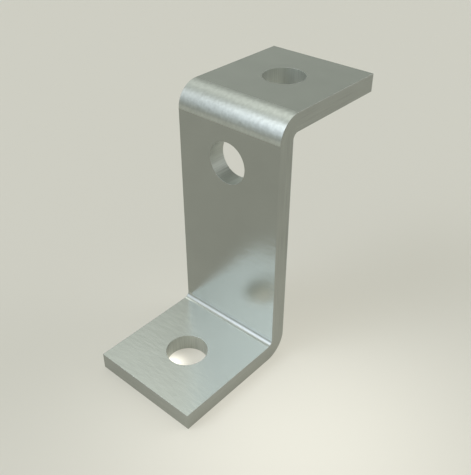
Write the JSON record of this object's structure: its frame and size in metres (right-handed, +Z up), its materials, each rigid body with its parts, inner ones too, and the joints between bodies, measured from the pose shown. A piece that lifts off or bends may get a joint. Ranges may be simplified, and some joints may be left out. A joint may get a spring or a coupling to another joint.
{
  "type": "z-shaped channel bracket",
  "caption": "Z-shaped channel bracket bent from thick flat steel bar: a foot, an upright web and an arm pointing the opposite way, each punched with a round bolt hole.",
  "frame": {"origin": "middle of the bolt hole in the foot, on the foot's flat underside, which seats on what the bracket is bolted to", "axes": "+X runs across the width of the bar, +Y from the foot towards the web and the arm, +Z up along the web from the foot to the arm"},
  "size_m": [0.04, 0.088, 0.089],
  "materials": {
    "zinc_plated_steel": "bright zinc plating, glossy with a faint ripple and a slight green-grey cast"
  },
  "bodies": {
    "root": {"z_bracket": "zinc_plated_steel"}
  },
  "joints": []
}
